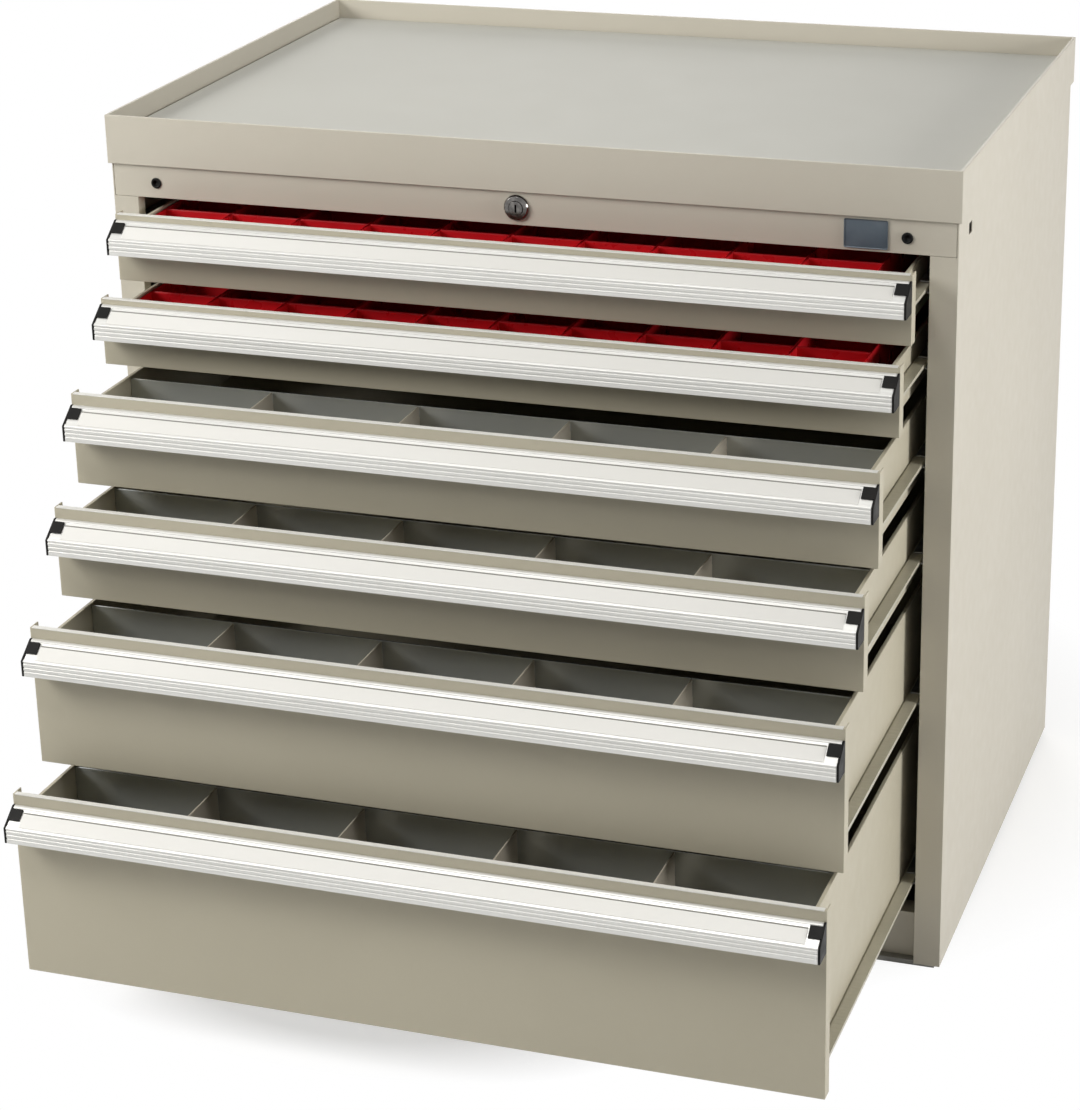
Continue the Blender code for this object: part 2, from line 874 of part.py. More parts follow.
def build():
    clear_scene()
    casing = paint("casing_paint", (0.47, 0.43, 0.34), 0.45)
    finishes = {
        "front": paint("drawer_paint", (0.40, 0.36, 0.28), 0.45),
        "aluminium": paint("anodised_aluminium", (0.80, 0.79, 0.75), 0.30, 0.6),
        "black": paint("black_plastic", (0.02, 0.02, 0.02), 0.45),
        "rail": paint("rail_steel", (0.45, 0.43, 0.37), 0.40, 0.3),
        "red": paint("red_plastic", (0.30, 0.005, 0.008), 0.35),
        "divider": paint("divider_steel", (0.22, 0.23, 0.22), 0.45, 0.2),
    }
    runner = paint("runner_steel", (0.35, 0.35, 0.34), 0.40, 0.7)
    nickel = paint("nickel", (0.60, 0.60, 0.60), 0.20, 1.0)
    side_panel("side_panel_left", -1, casing)
    side_panel("side_panel_right", 1, casing)
    back_panel(casing)
    base_pan(paint("foot_grey", (0.45, 0.45, 0.44), 0.5))
    plinth_rail(casing)
    fascia_rail(casing)
    top_tray(casing)
    top_mat(paint("mat_grey", (0.60, 0.62, 0.57), 0.6))
    runner_frame("runner_frame_left", -1, runner)
    runner_frame("runner_frame_right", 1, runner)
    hole_plug("plug_left", -1, finishes["black"])
    hole_plug("plug_right", 1, finishes["black"])
    lock_barrel(nickel)
    lock_nut(nickel)
    lock_plug(nickel)
    locking_bar(runner)
    for number, floor in enumerate(module_floors(), start=1):
        drawer(number, floor, finishes)


build()
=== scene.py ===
"""Industrial drawer cabinet: the finishes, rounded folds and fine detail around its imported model."""

import math

import bpy
from mathutils import Matrix, Vector


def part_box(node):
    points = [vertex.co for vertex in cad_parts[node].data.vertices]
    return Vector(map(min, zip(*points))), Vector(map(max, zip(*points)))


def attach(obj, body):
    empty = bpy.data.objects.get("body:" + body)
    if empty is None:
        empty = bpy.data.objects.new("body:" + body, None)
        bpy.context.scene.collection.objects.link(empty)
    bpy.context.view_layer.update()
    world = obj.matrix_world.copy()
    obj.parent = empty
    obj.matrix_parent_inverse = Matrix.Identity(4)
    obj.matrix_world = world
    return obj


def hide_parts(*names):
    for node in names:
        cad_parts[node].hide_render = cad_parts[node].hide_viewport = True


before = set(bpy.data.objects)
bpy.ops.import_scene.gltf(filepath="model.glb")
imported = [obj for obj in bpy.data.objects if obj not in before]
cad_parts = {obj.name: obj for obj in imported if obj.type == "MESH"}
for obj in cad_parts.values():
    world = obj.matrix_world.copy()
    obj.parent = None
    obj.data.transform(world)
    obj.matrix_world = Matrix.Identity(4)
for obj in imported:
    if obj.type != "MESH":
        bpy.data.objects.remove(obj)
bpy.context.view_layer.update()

# Side panels
# Each side of the casing is one steel sheet folded into a pan, with flanges
# at its four edges. It is powder coated in beige, which leaves a fine grain.

casing_light = (0.585, 0.550, 0.470)
casing_dark = (0.570, 0.535, 0.455)
cut_edge = 0.0005
fold_radius = 0.0014
weld_distance = 0.000005
flat_angle = math.radians(0.5)
sharp_angle = math.radians(40)

# A point lies on a plane if it is a hair off it at most, and a long edge is
# one that runs over most of a sheet's height or width.
hair = 0.0001
long_edge = 0.5


def new_finish(name, roughness):
    """A finish that is only its shader so far."""
    made = bpy.data.materials.new(name)
    made.use_nodes = True
    made.node_tree.nodes["Principled BSDF"].inputs["Roughness"].default_value = roughness
    return made


def set_shader(finish, **values):
    """Writes plain values on the shader, such as Coat_Weight=0.5."""
    shader = finish.node_tree.nodes["Principled BSDF"]
    for socket, value in values.items():
        shader.inputs[socket.replace("_", " ")].default_value = value


def grain(finish, per_metre, detail=2.0, along=(1, 1, 1)):
    """Noise with this many cells in a metre, drawn out along an axis where its factor is small."""
    tree = finish.node_tree
    place = tree.nodes.new("ShaderNodeTexCoord")
    stretch = tree.nodes.new("ShaderNodeMapping")
    stretch.inputs["Scale"].default_value = along
    noise = tree.nodes.new("ShaderNodeTexNoise")
    noise.inputs["Scale"].default_value = per_metre
    noise.inputs["Detail"].default_value = detail
    tree.links.new(place.outputs["Object"], stretch.inputs["Vector"])
    tree.links.new(stretch.outputs["Vector"], noise.inputs["Vector"])
    return noise.outputs["Fac"]


def tint(finish, pattern, dark, light):
    """Colours the finish from dark to light over the middle of a pattern."""
    tree = finish.node_tree
    ramp = tree.nodes.new("ShaderNodeValToRGB")
    ramp.color_ramp.elements[0].position = 0.35
    ramp.color_ramp.elements[1].position = 0.65
    ramp.color_ramp.elements[0].color = (*dark, 1)
    ramp.color_ramp.elements[1].color = (*light, 1)
    tree.links.new(pattern, ramp.inputs["Fac"])
    tree.links.new(ramp.outputs["Color"], tree.nodes["Principled BSDF"].inputs["Base Color"])


def vary_gloss(finish, pattern, low, high):
    """Lets the roughness run between two values along a pattern."""
    tree = finish.node_tree
    span = tree.nodes.new("ShaderNodeMapRange")
    span.inputs["From Min"].default_value = 0.3
    span.inputs["From Max"].default_value = 0.7
    span.inputs["To Min"].default_value = low
    span.inputs["To Max"].default_value = high
    tree.links.new(pattern, span.inputs["Value"])
    tree.links.new(span.outputs["Result"], tree.nodes["Principled BSDF"].inputs["Roughness"])


def raise_grain(finish, pattern, height, strength):
    """Raises the surface by a pattern, on top of what is raised already."""
    tree = finish.node_tree
    bump = tree.nodes.new("ShaderNodeBump")
    bump.inputs["Distance"].default_value = height
    bump.inputs["Strength"].default_value = strength
    tree.links.new(pattern, bump.inputs["Height"])
    normal = tree.nodes["Principled BSDF"].inputs["Normal"]
    if normal.is_linked:
        tree.links.new(normal.links[0].from_socket, bump.inputs["Normal"])
    tree.links.new(bump.outputs["Normal"], normal)


def powder_coat(name, dark, light, gloss=(0.42, 0.52)):
    """Baked powder paint: cloudy by a shade, with orange peel and a finer sand grain."""
    made = new_finish(name, gloss[0])
    set_shader(made, Specular_IOR_Level=0.3)
    tint(made, grain(made, per_metre=5.0, detail=3.0), dark, light)
    vary_gloss(made, grain(made, per_metre=60.0), *gloss)
    raise_grain(made, grain(made, per_metre=420.0, detail=1.0), height=0.00012, strength=0.35)
    raise_grain(made, grain(made, per_metre=1500.0), height=0.00006, strength=0.45)
    return made


def pick(piece):
    """Makes this the one selected object, out of edit mode."""
    if bpy.context.mode != "OBJECT":
        bpy.ops.object.mode_set(mode="OBJECT")
    bpy.ops.object.select_all(action="DESELECT")
    piece.select_set(True)
    bpy.context.view_layer.objects.active = piece


def choose_sharp(piece, wanted):
    """Goes into edit mode with those sharp edges selected whose two ends pass the test."""
    pick(piece)
    bpy.context.tool_settings.mesh_select_mode = (False, True, False)
    bpy.ops.object.mode_set(mode="EDIT")
    bpy.ops.mesh.select_all(action="DESELECT")
    bpy.ops.mesh.edges_select_sharp(sharpness=sharp_angle)
    bpy.ops.object.mode_set(mode="OBJECT")
    points = piece.data.vertices
    for edge in piece.data.edges:
        ends = [points[i].co for i in edge.vertices]
        edge.select = edge.select and wanted(*ends)
    bpy.ops.object.mode_set(mode="EDIT")


def soften(piece, radius):
    """Rounds every sharp edge that is left, and shades the rounds smooth and the flats flat."""
    pick(piece)
    rounding = piece.modifiers.new("rounding", "BEVEL")
    rounding.width = radius
    rounding.segments = 2
    rounding.limit_method = "ANGLE"
    rounding.angle_limit = sharp_angle
    bpy.ops.object.modifier_apply(modifier=rounding.name)
    bpy.ops.object.shade_smooth_by_angle(angle=sharp_angle)
    flats = piece.modifiers.new("flats", "WEIGHTED_NORMAL")
    flats.keep_sharp = True
    bpy.ops.object.modifier_apply(modifier=flats.name)


def dress(piece, finish, body):
    """Gives a piece its finish and says what it rides on."""
    piece.data.materials.clear()
    piece.data.materials.append(finish)
    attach(piece, body)


def formed(node, word, finish, body, folds=None, radius=cut_edge, fold=fold_radius, shape=None):
    """The node's solid as a piece in its place, shaped further, its folds and cut edges rounded."""
    piece = bpy.data.objects.new(f"{node}_{word}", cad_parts[node].data.copy())
    bpy.context.scene.collection.objects.link(piece)
    pick(piece)
    bpy.ops.object.mode_set(mode="EDIT")
    bpy.ops.mesh.select_all(action="SELECT")
    bpy.ops.mesh.remove_doubles(threshold=weld_distance)
    bpy.ops.mesh.dissolve_limited(angle_limit=flat_angle)
    bpy.ops.object.mode_set(mode="OBJECT")
    if shape:
        shape(piece)
    if folds:
        choose_sharp(piece, folds)
        bpy.ops.mesh.bevel(offset=fold, segments=3, affect="EDGES", clamp_overlap=True)
        bpy.ops.object.mode_set(mode="OBJECT")
    soften(piece, radius)
    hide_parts(node)
    dress(piece, finish, body)
    return piece


casing_coat = powder_coat("casing_powder_coat", casing_dark, casing_light)
side_low, side_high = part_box("side_panel_right")


def on_side_fold(a, b):
    """Along the upright folds of a side panel: its outer corners and the edge of its front flange."""
    outside = min(abs(a.x), abs(b.x)) > side_high.x - hair
    in_front = max(a.y, b.y) < side_low.y + hair
    return (outside or in_front) and abs(a.z - b.z) > long_edge


for side in ("left", "right"):
    formed(f"side_panel_{side}", "sheet", casing_coat, "cabinet", folds=on_side_fold)

# Back panel, base pan and plinth rail
# Folded sheets spot welded between the sides. The base pan stands on two low
# feet in a lighter grey, and the plinth rail is set back over the front one.

foot_coat = powder_coat("foot_coat", (0.33, 0.33, 0.32), (0.37, 0.37, 0.355))
formed("back_panel", "sheet", casing_coat, "cabinet")
formed("base_pan", "sheet", foot_coat, "cabinet")
formed("plinth_rail", "sheet", casing_coat, "cabinet")

# Fascia rail
# A folded rail over the top drawer, punched for the lock and for two black
# hole plugs. A plain label is stuck on near its right end.

fascia_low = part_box("fascia_rail")[0]
label_middle = Vector((0.3467, fascia_low.y, 0.7713))
label_size = Vector((0.0420, 0.0004, 0.0278))
label_corner = 0.0015
label_round = 0.0001


def on_fascia_fold(a, b):
    """Along the fascia's lower front edge."""
    return max(a.y, b.y) < fascia_low.y + hair and max(a.z, b.z) < fascia_low.z + hair


def sheet_block(name, low, high):
    """A block between two corners, ready to be shaped."""
    bpy.ops.object.select_all(action="DESELECT")
    bpy.ops.mesh.primitive_cube_add(size=1, location=(low + high) / 2, scale=high - low)
    made = bpy.context.object
    made.name = name
    bpy.ops.object.transform_apply(location=True, rotation=False, scale=True)
    return made


formed("fascia_rail", "sheet", casing_coat, "cabinet", folds=on_fascia_fold)
label_film = new_finish("label_film", roughness=0.32)
tint(label_film, grain(label_film, per_metre=60.0), (0.085, 0.115, 0.145), (0.105, 0.135, 0.165))
raise_grain(label_film, grain(label_film, per_metre=900.0, detail=1.0), height=0.00004, strength=0.3)
label_back = Vector((0, label_size.y / 2, 0))
label_low = label_middle - label_size / 2 - label_back
blank_label = sheet_block("blank_label", label_low, label_low + label_size)
choose_sharp(blank_label, lambda a, b: abs(a.y - b.y) > hair)
bpy.ops.mesh.bevel(offset=label_corner, segments=4, affect="EDGES")
bpy.ops.object.mode_set(mode="OBJECT")
soften(blank_label, label_round)
dress(blank_label, label_film, "cabinet")

# Tray top and mat
# The lid is one sheet with a hem turned over all round its lip, welded at the
# corners. A smooth grey mat lies loose in it.

tray_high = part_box("top_tray")[1]
lip_upright = 0.02


def on_tray_hem(a, b):
    """Along the hem's upper edges and the upright outer corners."""
    on_top = min(a.z, b.z) > tray_high.z - hair
    at_side = min(abs(a.x), abs(b.x)) > tray_high.x - hair
    at_corner = at_side and min(abs(a.y), abs(b.y)) > tray_high.y - hair
    return on_top or (at_corner and abs(a.z - b.z) > lip_upright)


formed("top_tray", "sheet", casing_coat, "cabinet", folds=on_tray_hem, radius=0.0007)
mat_grey = new_finish("tray_mat", roughness=0.62)
set_shader(mat_grey, Specular_IOR_Level=0.1)
tint(mat_grey, grain(mat_grey, per_metre=4.0), (0.560, 0.556, 0.512), (0.575, 0.571, 0.526))
vary_gloss(mat_grey, grain(mat_grey, per_metre=25.0, detail=3.0), low=0.60, high=0.64)
raise_grain(mat_grey, grain(mat_grey, per_metre=900.0, detail=1.0), height=0.00004, strength=0.3)
mat_margin = 0.0025
mat_fall = 0.0021
# A face looks along an axis if its normal has this much of it.
square_on = 0.95


def choose_faces(piece, wanted):
    """Goes into edit mode with just those faces selected that pass the test."""
    pick(piece)
    bpy.context.tool_settings.mesh_select_mode = (False, False, True)
    bpy.ops.object.mode_set(mode="EDIT")
    bpy.ops.mesh.select_all(action="DESELECT")
    bpy.ops.object.mode_set(mode="OBJECT")
    for face in piece.data.polygons:
        face.select = wanted(face)
    bpy.ops.object.mode_set(mode="EDIT")


def slope_margin(mat):
    """Lets the mat's upper edge fall off all round, which leaves a dark joint along the lip."""
    choose_faces(mat, lambda face: face.normal.z > square_on)
    bpy.ops.mesh.inset(thickness=mat_margin)
    bpy.ops.object.mode_set(mode="OBJECT")
    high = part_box("top_mat")[1]
    for corner in mat.data.vertices:
        from_edge = min(high.x - abs(corner.co.x), high.y - abs(corner.co.y))
        if from_edge < mat_margin / 2 and corner.co.z > high.z - hair:
            corner.co.z -= mat_fall


formed("top_mat", "sheet", mat_grey, "cabinet", radius=0.0001, shape=slope_margin)

# Runner frames
# Two posts a side, with a channel rolled from zinc plated strip for each
# drawer, welded together and hooked into the casing. Their dark grey is partly the plating and partly
# painted shade for the casing's dark inside.

# Dark grey: partly the zinc plating's own tone, partly painted shade for the unlit inside of the casing.
zinc_and_painted_shade = new_finish("zinc_plate_and_painted_shade", roughness=0.42)
set_shader(zinc_and_painted_shade, Metallic=0.8)
tint(zinc_and_painted_shade, grain(zinc_and_painted_shade, per_metre=90.0, detail=4.0), (0.20, 0.20, 0.195), (0.30, 0.30, 0.29))
vary_gloss(zinc_and_painted_shade, grain(zinc_and_painted_shade, per_metre=140.0, detail=3.0), low=0.35, high=0.5)
raise_grain(zinc_and_painted_shade, grain(zinc_and_painted_shade, per_metre=600.0, along=(1, 0.05, 1)), height=0.00003, strength=0.4)
for side in ("left", "right"):
    formed(f"runner_frame_{side}", "strip", zinc_and_painted_shade, "cabinet", radius=0.0004)

# Hole plugs
# Moulded black plastic, pressed into spare holes of the fascia. Each has a
# shallow dish in its round face.

plug_rim = 0.0016
plug_dish = 0.0007
black = new_finish("black_moulding", roughness=0.45)
set_shader(black, Specular_IOR_Level=0.1)
tint(black, grain(black, per_metre=30.0), (0.010, 0.010, 0.010), (0.016, 0.015, 0.014))
vary_gloss(black, grain(black, per_metre=90.0), low=0.38, high=0.52)
raise_grain(black, grain(black, per_metre=1300.0, detail=1.0), height=0.00008, strength=0.3)
for side in ("left", "right"):
    plug = formed(f"plug_{side}", "moulding", black, "cabinet", radius=0.0002)
    plug_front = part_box(f"plug_{side}")[0].y + 3 * hair
    choose_faces(plug, lambda face: face.normal.y < -square_on and face.center.y < plug_front)
    bpy.ops.mesh.inset(thickness=plug_rim)
    bpy.ops.mesh.extrude_region_move(TRANSFORM_OT_translate={"value": (0, plug_dish, 0)})
    bpy.ops.object.mode_set(mode="OBJECT")

# Lock
# A nickel plated cam lock: the barrel is clamped behind the fascia by its
# nut, and the plug's cam lowers the bar that blocks all the drawers. The nickel is set dark grey as a
# painted dark reflection.

# Nickel tone lowered to dark grey: a painted dark reflection on the plated lock.
nickel_and_painted_reflection = new_finish("nickel_plate_and_painted_reflection", roughness=0.1)
set_shader(nickel_and_painted_reflection, Metallic=1.0)
tint(nickel_and_painted_reflection, grain(nickel_and_painted_reflection, per_metre=200.0), (0.12, 0.115, 0.11), (0.20, 0.19, 0.18))
vary_gloss(nickel_and_painted_reflection, grain(nickel_and_painted_reflection, per_metre=300.0, detail=3.0), low=0.08, high=0.18)
formed("lock_barrel", "turning", nickel_and_painted_reflection, "cabinet", radius=0.0003)
formed("lock_nut", "turning", nickel_and_painted_reflection, "cabinet", radius=0.0003)
formed("lock_plug", "turning", nickel_and_painted_reflection, "lock_plug", radius=0.00015)
formed("locking_bar", "strip", zinc_and_painted_shade, "locking_bar", radius=0.0004)

# Drawer boxes
# Each drawer is a folded box with a rim all round, and a front panel folded
# at its edges and welded to it, coated like the casing. Its beige is set darker and warmer than the
# casing's as painted shade and warm bounce light.

drawers = range(1, 7)
box_side = 0.3915
rim_drop = 0.011
floor_lift = 0.0045
# Under half the sheet, so that the front panel's thin rear edge keeps a flat.
box_fold = 0.0007
# The casing's beige set darker and warmer: painted shade and warm bounce light on the drawer fronts.
shaded_drawer_coat = powder_coat("drawer_coat_with_painted_shade", (0.50, 0.463, 0.362), (0.52, 0.482, 0.378))


def on_drawer_fold(low, high):
    """A test for one drawer's folds: round its face, and outside along its rims and floor."""
    levels = (high.z - rim_drop, low.z + floor_lift)

    def test(a, b):
        if max(a.y, b.y) < low.y + hair:
            return True
        outside = min(abs(a.x), abs(b.x)) > box_side - hair or min(a.y, b.y) > high.y - hair
        return outside and any(abs(a.z - level) + abs(b.z - level) < 2 * hair for level in levels)

    return test


for number in drawers:
    body = f"drawer_{number}"
    folded = on_drawer_fold(*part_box(f"{body}_box"))
    formed(f"{body}_box", "sheet", shaded_drawer_coat, body, folds=folded, fold=box_fold)

# Handles
# An anodised aluminium extrusion over the drawer's whole width, with fine
# grooves along its nose and a sloping bed for labels.

anodised = new_finish("anodised_aluminium", roughness=0.3)
set_shader(anodised, Metallic=0.55)
drawn = grain(anodised, per_metre=300.0, along=(0.01, 1, 1))
tint(anodised, drawn, (0.66, 0.655, 0.63), (0.72, 0.715, 0.69))
vary_gloss(anodised, grain(anodised, per_metre=900.0, along=(0.01, 1, 1)), low=0.32, high=0.44)
die_lines = grain(anodised, per_metre=2500.0, detail=1.0, along=(0.004, 1, 1))
raise_grain(anodised, die_lines, height=0.00002, strength=0.3)
slope_back = 0.0202
slope_drop = 0.0150
nose_round = 0.0006


def on_handle_round(low, high):
    """A test for the rounded edges of one extrusion: the two of its nose, and those of its top lip."""

    def test(a, b):
        level = (a.z + b.z) / 2
        nose_level = min(abs(level - low.z), abs(level - high.z + slope_drop)) < hair
        on_nose = nose_level and max(a.y, b.y) < low.y + hair
        return abs(a.x - b.x) > long_edge and (on_nose or level > high.z - hair)

    return test


for number in drawers:
    body = f"drawer_{number}"
    handle = f"{body}_handle"
    rounded = on_handle_round(*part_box(handle))
    formed(handle, "extrusion", anodised, body, folds=rounded, radius=0.0002, fold=nose_round)

# Painted highlight strips
# A pale strip lies over the upper edge of each drawer's front, from the
# top of its face over the fold. Its pale colour is a painted highlight for the bright line the fold
# catches.

edge_sheet = 0.0004
edge_depth = 0.0048
edge_lap = 0.0007
# Painted highlight: a pale colour for the light caught along the top of each drawer front's fold.
painted_highlight = new_finish("edge_strip", roughness=0.4)
tint(painted_highlight, grain(painted_highlight, per_metre=30.0, along=(0.1, 1, 1)), (0.80, 0.79, 0.75), (0.84, 0.83, 0.79))
raise_grain(painted_highlight, grain(painted_highlight, per_metre=900.0, detail=1.0), height=0.00003, strength=0.3)


def split_at(piece, place, across):
    """Runs a line of edges round the piece, where a plane across this direction meets it."""
    pick(piece)
    bpy.ops.object.mode_set(mode="EDIT")
    bpy.ops.mesh.select_all(action="SELECT")
    bpy.ops.mesh.bisect(plane_co=place, plane_no=across)
    bpy.ops.object.mode_set(mode="OBJECT")


def draw_out(piece, wanted, move):
    """Extrudes the faces that pass the test."""
    choose_faces(piece, wanted)
    bpy.ops.mesh.extrude_region_move(TRANSFORM_OT_translate={"value": move})
    bpy.ops.object.mode_set(mode="OBJECT")


for number in drawers:
    body = f"drawer_{number}"
    handle_low, handle_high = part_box(f"{body}_handle")
    face_low, face_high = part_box(f"{body}_box")
    top = face_high.z
    strip = sheet_block(
        f"{body}_edge_strip",
        Vector((handle_low.x, face_low.y - edge_sheet, top - edge_lap)),
        Vector((handle_high.x, face_low.y, top + edge_sheet)),
    )
    split_at(strip, (0, 0, top), (0, 0, 1))
    draw_out(strip, lambda face: face.normal.y > square_on and face.center.z > top, (0, edge_depth, 0))
    soften(strip, radius=0.0001)
    dress(strip, painted_highlight, body)

# Label strips
# A blank white card lies in each handle's bed, under a clear cover that snaps
# in between the end caps' tabs. A thin dark bar along its upper edge is painted shade for the shadowed
# groove there.

lip_depth = 0.0025
bed_depth = 0.0008
tab_reach = 0.0125
strip_width = 0.0152
strip_height = 0.0007
strip_shift = 0.0022
groove_shade_width = 0.0013
groove_shade_height = 0.0006
groove_shade_shift = strip_shift - strip_width / 2 - groove_shade_width / 2 - hair
slope_run = Vector((0, -slope_back, -slope_drop))
slope_out = Vector((0, -slope_drop, slope_back)).normalized()
slope_turn = math.atan2(slope_drop, slope_back)
card = new_finish("label_card", roughness=0.35)
tint(card, grain(card, per_metre=12.0, along=(0.2, 1, 1)), (0.82, 0.81, 0.775), (0.85, 0.84, 0.81))
waviness = grain(card, per_metre=160.0, detail=1.0, along=(0.05, 1, 1))
raise_grain(card, waviness, height=0.00008, strength=0.3)
set_shader(card, Coat_Weight=0.25, Coat_Roughness=0.3)
# Painted shade: a dark grey bar where the groove along the card's upper edge lies in shadow.
groove_shade_paint = new_finish("painted_groove_shade", roughness=0.6)
set_shader(groove_shade_paint, Specular_IOR_Level=0.2)
cloud = grain(groove_shade_paint, per_metre=40.0, along=(0.1, 1, 1))
tint(groove_shade_paint, cloud, (0.27, 0.265, 0.245), (0.31, 0.305, 0.28))
raise_grain(groove_shade_paint, grain(groove_shade_paint, per_metre=900.0, detail=1.0), height=0.00005, strength=0.3)


def bar_on_slope(number, word, along, width, height, round_by):
    """A bar between the two end caps' tabs, this far down the bed from the middle of the slope."""
    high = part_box(f"drawer_{number}_handle")[1]
    shoulder = Vector((0, high.y - lip_depth, high.z))
    middle = shoulder + slope_run / 2 + slope_run.normalized() * along
    middle += slope_out * (height / 2 - bed_depth)
    length = 2 * (high.x - tab_reach)
    bpy.ops.object.select_all(action="DESELECT")
    bpy.ops.mesh.primitive_cube_add(
        size=1, location=middle, rotation=(slope_turn, 0, 0), scale=(length, width, height)
    )
    bar = bpy.context.object
    bar.name = f"drawer_{number}_{word}"
    bpy.ops.object.transform_apply(location=True, rotation=True, scale=True)
    soften(bar, round_by)
    return bar


for number in drawers:
    body = f"drawer_{number}"
    label = bar_on_slope(number, "label_strip", strip_shift, strip_width, strip_height, round_by=0.0003)
    dress(label, card, body)
    groove_shade = bar_on_slope(number, "painted_groove_shade", groove_shade_shift, groove_shade_width, groove_shade_height, round_by=0.0002)
    dress(groove_shade, groove_shade_paint, body)

# End caps
# Black mouldings that close the handle's ends. A square tab on each lies in
# the label bed and holds the strip.

for number in drawers:
    body = f"drawer_{number}"
    for side in ("left", "right"):
        formed(f"{body}_cap_{side}", "moulding", black, body, radius=0.0003)

# Drawer rails
# A hooked rail of coated steel strip is welded to each side of the box. It
# slides on its channel in the runner frame.

joint_width = 0.0016
joint_depth = 0.0013
joint_step = 0.0002
rail_fold = 0.0009
ledge_run = 0.1
rail_coat = powder_coat("rail_coat", (0.45, 0.43, 0.345), (0.54, 0.515, 0.42), gloss=(0.32, 0.42))
set_shader(rail_coat, Metallic=0.15)
waves = grain(rail_coat, per_metre=260.0, detail=0.0, along=(0.3, 1, 0.3))
raise_grain(rail_coat, waves, height=0.0006, strength=0.5)


def sink_joint(rail):
    """Sets the ledge's inner margin lower, which leaves a dark joint along the box."""
    corners = [corner.co for corner in rail.data.vertices]
    top = max(corner.z for corner in corners) - hair
    inner = min(abs(corner.x) for corner in corners)
    side = 1 if corners[0].x > 0 else -1
    margin = inner + joint_width
    for reach in (margin, margin + joint_step):
        split_at(rail, (side * reach, 0, 0), (1, 0, 0))

    def on_margin(face):
        on_ledge = face.normal.z > square_on and face.center.z > top
        return on_ledge and abs(face.center.x) < margin

    choose_faces(rail, on_margin)
    bpy.ops.transform.translate(value=(0, 0, -joint_depth))
    bpy.ops.object.mode_set(mode="OBJECT")


def on_rail_edge(low, high):
    """A test for the ledge's outer upper edge."""
    outer = max(abs(low.x), abs(high.x))

    def test(a, b):
        outside = min(abs(a.x), abs(b.x)) > outer - hair
        return outside and min(a.z, b.z) > high.z - hair and abs(a.y - b.y) > ledge_run

    return test


for number in drawers:
    body = f"drawer_{number}"
    for side in ("left", "right"):
        rail = f"{body}_rail_{side}"
        formed(
            rail,
            "strip",
            rail_coat,
            body,
            folds=on_rail_edge(*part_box(rail)),
            radius=0.0004,
            fold=rail_fold,
            shape=sink_joint,
        )

# Bins
# The two shallow top drawers are filled with red moulded bins, ten across and
# five deep, each with drafted sides, rounded corners and an open top.

bin_drawers = (1, 2)
bin_pitch = 0.075
bin_columns = 10
bin_rows = (0.075, 0.075, 0.150, 0.150, 0.075)
bin_gap = 0.0004
bin_wall = 0.0014
bin_floor = 0.0018
bin_draft = 0.0010
bin_corner = 0.0022
bin_upright = 0.02
red = new_finish("red_moulding", roughness=0.28)
tint(red, grain(red, per_metre=9.0), (0.62, 0.010, 0.018), (0.72, 0.016, 0.024))
vary_gloss(red, grain(red, per_metre=60.0), low=0.25, high=0.36)
raise_grain(red, grain(red, per_metre=500.0, detail=1.0), height=0.00005, strength=0.3)


def one_bin(name, low, high):
    """One open bin between two corners, drawn in a little towards its floor."""
    size = high - low
    foot = ((low.x + high.x) / 2, (low.y + high.y) / 2, low.z)
    drawn_in = (1 - 2 * bin_draft / size.x, 1 - 2 * bin_draft / size.y, 1)
    hollow = (0, 0, bin_floor - size.z)
    made = sheet_block(name, low, high)
    choose_faces(made, lambda face: face.normal.z < -square_on)
    bpy.ops.transform.resize(value=drawn_in, center_override=foot)
    choose_faces(made, lambda face: face.normal.z > square_on)
    bpy.ops.mesh.inset(thickness=bin_wall)
    bpy.ops.mesh.extrude_region_move(TRANSFORM_OT_translate={"value": hollow})
    bpy.ops.transform.resize(value=drawn_in, center_override=foot)
    bpy.ops.object.mode_set(mode="OBJECT")
    choose_sharp(made, lambda a, b: abs(a.z - b.z) > bin_upright)
    bpy.ops.mesh.bevel(offset=bin_corner, segments=3, affect="EDGES", clamp_overlap=True)
    bpy.ops.object.mode_set(mode="OBJECT")
    soften(made, radius=0.0004)
    return made


for number in bin_drawers:
    body = f"drawer_{number}"
    low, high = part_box(f"{body}_bins")
    near = low.y
    block = []
    for row, depth in enumerate(bin_rows):
        first = one_bin(
            f"{body}_bin_row_{row + 1}",
            Vector((low.x + bin_gap, near + bin_gap, low.z)),
            Vector((low.x + bin_pitch - bin_gap, near + depth - bin_gap, high.z)),
        )
        block.append(first)
        for column in range(1, bin_columns):
            other = bpy.data.objects.new(f"{first.name}_{column + 1}", first.data.copy())
            other.data.transform(Matrix.Translation((column * bin_pitch, 0, 0)))
            bpy.context.scene.collection.objects.link(other)
            block.append(other)
        near += depth
    bpy.ops.object.select_all(action="DESELECT")
    for made in block:
        made.select_set(True)
    bpy.context.view_layer.objects.active = block[0]
    bpy.ops.object.join()
    block[0].name = f"{body}_red_bins"
    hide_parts(f"{body}_bins")
    dress(block[0], red, body)

# Partitions and dividers
# In the taller drawers a grey partition crosses the box, and four thinner
# plates reach it with their hooks and divide the front row.

